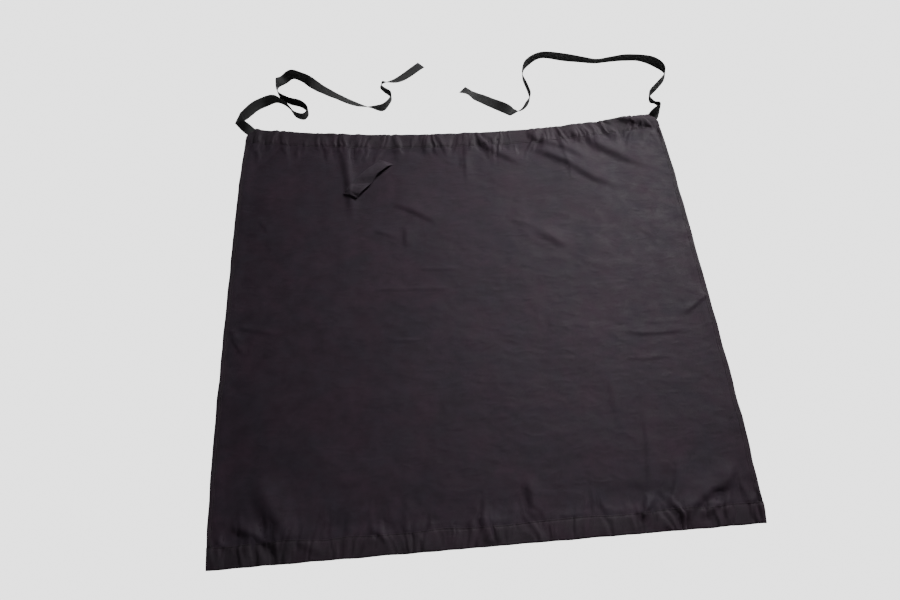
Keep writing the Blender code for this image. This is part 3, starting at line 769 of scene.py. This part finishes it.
loop = {
    "rightEdge": [(-0.1510, 0.3730), (-0.1690, 0.3560), (-0.1850, 0.3400), (-0.1975, 0.3205),
                  (-0.2085, 0.3080), (-0.2225, 0.2915), (-0.2345, 0.2775)],
    "leftEdge": [(-0.1800, 0.3885), (-0.1905, 0.3765), (-0.2085, 0.3610), (-0.2255, 0.3430),
                 (-0.2400, 0.3270), (-0.2530, 0.3100), (-0.2640, 0.2950)],
    # y, height in mm: lifts at its low end, dips to a crease, rises to a bend
    "heights": [(0.278, 1.1), (0.290, 1.6), (0.311, 1.3), (0.318, 1.0), (0.334, 5.4), (0.342, 6.0),
                (0.384, 0.4), (0.400, 0.0)],
    "thick": 0.0011,
    "endThick": 0.0013,
    "endRun": 0.10,         # share of its length over which it leaves the panel
    "endHeight": 0.35,      # share of its height that it keeps at its ends
    "endFlat": 0.45,        # share of its thickness that its last ring keeps
    "tilt": 0.0048,         # how far its lower right edge stands up
    "clear": 0.0004,        # between it and the panel
    "ripple": 0.0003,
    "along": 12,            # cells between two points of its edges
    "across": 20,           # points across it
    "stitches": 8,          # in one row at each end
    "stitchRow": 7,         # its distance from the end, in cells
}


def loopRing(left, right, share):  # section of the strip between two points of its edges
    v = np.linspace(0, 1, loop["across"])
    x, y = left[0] + (right[0] - left[0]) * v, left[1] + (right[1] - left[1]) * v
    free = smooth01(share / loop["endRun"]) * smooth01((1 - share) / loop["endRun"])
    bend = np.interp(y, *np.transpose(loop["heights"])) / 1000
    bend = bend * (loop["endHeight"] + (1 - loop["endHeight"]) * free)
    raised = smooth01(share / 0.12) * (1 - 0.30 * smooth01((share - 0.85) / 0.15))
    stand = loop["tilt"] * raised * v ** 1.5
    ground = panelTop(x, y)
    bridge = ground * (1 - free) + free * (ground.mean() + ground.max()) / 2
    ripple = loop["ripple"] * softNoise(x / 0.012, y / 0.012, 71) * free
    low = np.maximum(bridge, ground) + loop["clear"] + bend + stand + ripple
    thick = loop["thick"] + (loop["endThick"] - loop["thick"]) * (1 - free)
    bottom = np.stack([x, y, low], 1)
    top = bottom + thick * upward
    outward = np.array([right[0] - left[0], right[1] - left[1], 0.0]) / math.dist(left, right)
    rims = (bottom + top) / 2
    bulge = outward * thick * 0.45
    return np.vstack([top, rims[-1] + bulge, bottom[::-1], rims[0] - bulge])


def tuckedEnd(ring, inner):  # one more ring, flatter and a little further out
    cap = ring.copy()
    middle = ring[:, 2].mean()
    cap[:, 2] = middle + (ring[:, 2] - middle) * loop["endFlat"]
    return cap + (ring - inner).mean(axis=0) * 0.3


def makeLoop():
    rights = roundPath(loop["rightEdge"], loop["along"])
    lefts = roundPath(loop["leftEdge"], loop["along"])
    last = len(lefts) - 1
    rings = [loopRing(left, right, k / last) for k, (left, right) in enumerate(zip(lefts, rights))]
    rings = np.array([tuckedEnd(rings[0], rings[1]), *rings, tuckedEnd(rings[-1], rings[-2])])
    size = rings.shape[1]
    faces = tubeFaces(len(rings), size)
    faces += [tuple(range(start, start + size)) for start in (0, (len(rings) - 1) * size)]
    piece = makePiece("towel_loop_cloth", rings.reshape(-1, 3), faces, paintedLightLoopCotton)
    turnOutward(piece)
    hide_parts("towel_loop")
    for label, k in (("upper", loop["stitchRow"]), ("lower", len(rings) - 1 - loop["stitchRow"])):
        top = rings[k][:loop["across"]]
        v = np.linspace(0.08, 0.92, loop["stitches"]) * (loop["across"] - 1)
        spots = np.stack([np.interp(v, range(len(top)), axis) for axis in top.T], 1)
        ahead = np.tile(top[-1] - top[0], (loop["stitches"], 1))
        makeStitches("towel_loop_stitches_" + label, spots, ahead)
    return piece


loopPiece = makeLoop()
print("stage: towel loop")

ties = {
    "width": 0.025,
    "thick": 0.0010,
    "leftLength": 0.990,
    "rightLength": 0.925,
    "root": 0.012,          # how far it reaches into the waistband
    "rootLift": 0.0013,
    "rootFollow": 10,       # sections that follow the waistband's lift, and over which that ends
    "rootEnding": 14,
    "cup": 0.0005,          # how much the tape curls across
    "ripple": 0.0005,       # waviness of its edges
    "foldReach": 0.0105,    # how near to a fold's corner it still lies flat
    "floorGap": 0.00055,    # least height of its middle layer
    "steps": 10,
    "across": 13,
}
# across, out (shares of the tie's length from where it leaves the waistband), lean in degrees with
# its left edge up, lift as a share of its width, folded over there
leftTie = [
    (-0.021, 0.017, -46, 0.05, False), (-0.037, 0.046, 0, 0.14, True), (-0.024, 0.054, 12, 0, False),
    (0.004, 0.080, 36, 0, False), (0.029, 0.093, 46, 0, False),
    (0.054, 0.097, 82, 0, False), (0.068, 0.090, 96, 0, False),
    (0.087, 0.072, 98, 0, False), (0.107, 0.042, 95, 0, False), (0.128, 0.034, 93, 0, False),
    (0.138, 0.051, 93, 0, False), (0.121, 0.075, 93, 0, False), (0.087, 0.090, 93, 0, False),
    (0.062, 0.113, 87, 0, False), (0.056, 0.146, 85, 0, False), (0.070, 0.171, 18, 0, False),
    (0.092, 0.181, 62, 0, False), (0.118, 0.169, 68, 0, False), (0.151, 0.148, 12, 0, False),
    (0.204, 0.106, -18, 0, False), (0.254, 0.073, -28, 0, False), (0.290, 0.056, -52, 0, False),
    (0.322, 0.051, -92, 0, False), (0.339, 0.070, -85, 0, False), (0.345, 0.090, -90, 0, False),
    (0.323, 0.117, -95, 0, False), (0.322, 0.134, -65, 0, False), (0.359, 0.149, -18, 0, False),
    (0.425, 0.205, 0, 0, False),
]
rightTie = [
    (0.013, 0.012, 46, 0, False), (0.023, 0.021, 82, 0, False), (0.024, 0.032, 82, 0, False),
    (0.015, 0.043, 60, 0, False), (0.004, 0.052, 74, 0, False), (0.004, 0.071, 80, 0, False),
    (0.032, 0.103, 79, 0, False), (0.058, 0.134, 80, 0, False), (0.065, 0.161, 84, 0, False),
    (0.046, 0.191, 106, 0, False), (0.010, 0.210, 85, 0, False), (-0.039, 0.215, 83, 0, False),
    (-0.082, 0.211, 75, 0, False), (-0.119, 0.207, 70, 0, False), (-0.160, 0.216, 80, 0, False),
    (-0.204, 0.227, 92, 0, False), (-0.269, 0.240, 85, 0, False), (-0.306, 0.219, 98, 0, False),
    (-0.323, 0.197, 95, 0, False), (-0.330, 0.162, 98, 0, False), (-0.320, 0.113, 92, 0, False),
    (-0.319, 0.082, 88, 0, False), (-0.337, 0.052, 84, 0, False), (-0.354, 0.040, 50, 0, False),
    (-0.381, 0.050, -22, 0, False), (-0.424, 0.080, -15, 0, False), (-0.462, 0.108, 0, 0, False),
    (-0.479, 0.119, 20, 0, False), (-0.498, 0.136, 0, 0, False),
]


def smoothRun(rows, steps):  # centripetal curve through rows of (x, y, lean, lift)
    rows = [np.array(row, float) for row in rows]
    rows = [2 * rows[0] - rows[1]] + rows + [2 * rows[-1] - rows[-2]]
    knots = [0.0]
    for a, b in zip(rows, rows[1:]):
        knots.append(knots[-1] + math.sqrt(math.hypot(*(b - a)[:2])))
    run = []
    for i in range(1, len(rows) - 2):
        for step in range(steps):
            here = knots[i] + (knots[i + 1] - knots[i]) * step / steps
            level = rows[i - 1:i + 3]
            for spans in (((-1, 0), (0, 1), (1, 2)), ((-1, 1), (0, 2)), ((0, 1),)):
                shares = [(here - knots[i + a]) / (knots[i + b] - knots[i + a]) for a, b in spans]
                level = [(1 - s) * level[j] + s * level[j + 1] for j, s in enumerate(shares)]
            run.append(level[0])
    run.append(rows[-2])
    return np.array(run)


def tapeSections(run, flipped):  # middle, half width and face normal along the tape
    x, y, lean, lift = run.T
    lean = np.radians(lean)
    rise = ties["width"] / 2 * np.abs(np.sin(lean)) + ties["thick"] / 2 * np.abs(np.cos(lean))
    dx, dy = np.gradient(x), np.gradient(y)
    length = np.hypot(dx, dy)
    side = np.stack([-dy / length, dx / length, 0 * x], 1)
    half = (np.cos(lean)[:, None] * side + np.sin(lean)[:, None] * upward) * ties["width"] / 2
    face = np.cos(lean)[:, None] * upward - np.sin(lean)[:, None] * side
    turn = -1 if flipped else 1
    middles = np.stack([x, y, rise + np.maximum(lift, 0)], 1)
    return [(middle, h * turn, f * turn) for middle, h, f in zip(middles, half, face)]


def foldedSections(before, after, corner):  # the tape rolled over a fold line through the corner
    flat = np.array([1.0, 1.0, 0.0])
    corner = np.array([*corner, 0.0])
    inward, onward = corner - before[0] * flat, after[0] * flat - corner
    inward /= np.linalg.norm(inward)
    onward /= np.linalg.norm(onward)
    line = (inward + onward) / np.linalg.norm(inward + onward)
    out = (inward - onward) / np.linalg.norm(inward - onward)
    slant = abs(inward[0] * line[1] - inward[1] * line[0])
    half = line * math.copysign(ties["width"] / 2 / slant, before[1] @ line)
    radius = (before[0][2] - after[0][2]) / 2
    middle = corner - out * radius + upward * (before[0][2] + after[0][2]) / 2
    turns = np.radians(np.linspace(90, -90, 9))
    normals = [out * math.cos(turn) + upward * math.sin(turn) for turn in turns]
    return [(middle + normal * radius, half, normal) for normal in normals]


def tieSections(start, heading, bends, length):
    start = np.array(start)
    toward = np.array([math.cos(heading), math.sin(heading)])
    straight = [(*(start + toward * reached), 0, ties["rootLift"])
                for reached in (-ties["root"], 0, ties["width"] * 0.12)]

    def clearOf(corner, sections):
        return [s for s in sections if math.dist(s[0][:2], corner) > ties["foldReach"]]

    scale = length
    for _ in range(4):  # until the path has the tie's real length
        runs, corners = [list(straight)], []
        for across, out, lean, lift, fold in bends:
            place = start + np.array([across, out]) * scale
            runs[-1].append((*place, lean, lift * ties["width"]))
            if fold:
                corners.append(place)
                runs.append([(*place, lean, 0.0)])
        sections = tapeSections(smoothRun(runs[0], ties["steps"]), False)
        for flips, (corner, run) in enumerate(zip(corners, runs[1:]), 1):
            onward = clearOf(corner, tapeSections(smoothRun(run, ties["steps"]), flips % 2 == 1))
            sections = clearOf(corner, sections)
            sections += foldedSections(sections[-1], onward[0], corner) + onward
        scale *= length / sum(math.dist(a[0], b[0]) for a, b in zip(sections, sections[1:]))
    return sections


def makeTie(label, near, far, bends, length, seed):
    (ax, ay), (bx, by) = layOut(*near), layOut(*far)
    heading = math.atan2(by - ay, bx - ax) + math.pi / 2
    sections = tieSections(((ax + bx) / 2, (ay + by) / 2), heading, bends, length)
    v = np.linspace(-1, 1, ties["across"])
    thick = ties["thick"] / 2 * np.clip((1 - np.abs(v)) * 6 + 0.55, 0, 1)[:, None]
    rings, coords = [], []
    run = 0.0
    for k, (middle, half, face) in enumerate(sections):
        if k:
            run += math.dist(middle, sections[k - 1][0])
        free = smooth01((run - ties["root"]) / 0.02)
        here = np.full(len(v), run)
        curl = ties["cup"] * free * runNoise(here, 0.09, seed * 1.7, seed) * (1 - v * v)
        wave = ties["ripple"] * free * softNoise(here / 0.030, v * 0.8 + seed, seed + 1) * np.abs(v)
        line = middle + v[:, None] * half + (curl + wave)[:, None] * face
        line[:, 2] = np.maximum(line[:, 2], ties["floorGap"])
        rings.append(np.vstack([line + face * thick, (line - face * thick)[::-1]]))
        spots = np.stack([here, (v + 1) / 2 * ties["width"]], 1)
        coords += [*spots, *spots[::-1]]
    rings = np.array(rings)
    # inside the waistband the tape follows the cloth round it
    section = np.arange(len(rings))[:, None]
    inside = smooth01(1 - (section - ties["rootFollow"]) / ties["rootEnding"])
    rings[..., 2] += clothLift(*patternOf(rings[..., 0], rings[..., 1])) * inside
    piece = makePiece(label + "_tape", rings.reshape(-1, 3), zippedTube(*rings.shape[:2]), tape,
                      coords)
    turnOutward(piece)
    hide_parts(label)
    return piece


top, right, cut = apron["length"], apron["width"], apron["cornerCut"]
leftTiePiece = makeTie("tie_left", (0, top - cut), (cut, top), leftTie, ties["leftLength"], 3)
rightTiePiece = makeTie("tie_right", (right - cut, top), (right, top - cut), rightTie,
                        ties["rightLength"], 5)
print("stage: ties")

studio = {
    "floorColor": (0.93, 0.93, 0.93),
    "floorReach": 12.0,
    "floorDrop": 0.0004,    # how far the paper lies under the apron
    "paper": 2.6,           # how bright the paper and the backdrop are for the camera
    "world": 0.10,          # how bright the backdrop is as a light
}
lamps = {  # spread in degrees, as through a softbox grid
    "keyLight": {"place": (1.50, 1.92, 1.50), "aim": (0.195, -0.20, 0.0), "size": 0.75, "power": 5.2,
                 "spread": 37.0},
    "fillLight": {"place": (-0.60, -2.60, 0.50), "aim": (0.195, -0.20, 0.0), "size": 1.2, "power": 8.0,
                  "spread": 180.0},
    "backLight": {"place": (1.25, 1.75, 1.50), "aim": (-0.16, 0.78, 0.0), "size": 0.6, "power": 2.9,
                  "spread": 40.0},
}


def makeFloor():
    mesh = bpy.data.meshes.new("floor")
    reach, drop = studio["floorReach"], studio["floorDrop"]
    mesh.from_pydata([(x, y, -drop) for x, y in ((-reach, -reach), (reach, -reach), (reach, reach),
                                                 (-reach, reach))], [], [(0, 1, 2, 3)])
    floor = bpy.data.objects.new("floor", mesh)
    bpy.context.scene.collection.objects.link(floor)
    material, tree, shader = newMaterial("floorPaper")
    shader["Base Color"].default_value = (*studio["floorColor"], 1)
    shader["Roughness"].default_value = 0.9
    shader["Specular IOR Level"].default_value = 0.0
    lit = node(tree, "ShaderNodeEmission", Color=(1, 1, 1, 1), Strength=studio["paper"])
    either = node(tree, "ShaderNodeMixShader")
    feed(tree, either.inputs[0], node(tree, "ShaderNodeLightPath").outputs["Is Camera Ray"])
    feed(tree, either.inputs[1], tree.nodes["Principled BSDF"].outputs[0])
    feed(tree, either.inputs[2], lit.outputs[0])
    feed(tree, tree.nodes["Material Output"].inputs["Surface"], either.outputs[0])
    mesh.materials.append(material)


def makeWorld():
    world = bpy.data.worlds.new("studioWorld")
    world.use_nodes = True
    tree = world.node_tree
    strength = node(tree, "ShaderNodeMapRange", To_Min=studio["world"], To_Max=studio["paper"])
    backdrop = tree.nodes["Background"].inputs
    backdrop["Color"].default_value = (1, 1, 1, 1)
    feed(tree, strength.inputs["Value"], node(tree, "ShaderNodeLightPath").outputs["Is Camera Ray"])
    feed(tree, backdrop["Strength"], strength.outputs[0])
    bpy.context.scene.world = world


def makeLamp(name, look):
    light = bpy.data.lights.new(name, "AREA")
    light.shape = "DISK"
    light.size = look["size"]
    light.energy = look["power"]
    light.spread = math.radians(look["spread"])
    lamp = bpy.data.objects.new(name, light)
    lamp.location = look["place"]
    toward = Vector(look["aim"]) - Vector(look["place"])
    lamp.rotation_euler = toward.to_track_quat("-Z", "Y").to_euler()
    lamp.visible_camera = False
    bpy.context.scene.collection.objects.link(lamp)


makeFloor()
makeWorld()
for name, look in lamps.items():
    makeLamp(name, look)

view = {
    "place": (-0.0855, -0.7032, 1.3012),
    "pitch": 61.466,        # degrees down from level
    "turn": -3.747,         # degrees about +Z
    "lens": 28.0,
    "sensor": 36.0,
}
cameraData = bpy.data.cameras.new("photoView")
cameraData.lens = view["lens"]
cameraData.sensor_width = view["sensor"]
camera = bpy.data.objects.new("photoView", cameraData)
camera.location = view["place"]
camera.rotation_euler = (math.radians(90 - view["pitch"]), 0, math.radians(view["turn"]))
bpy.context.scene.collection.objects.link(camera)
bpy.context.scene.camera = camera
print("stage: studio and camera")
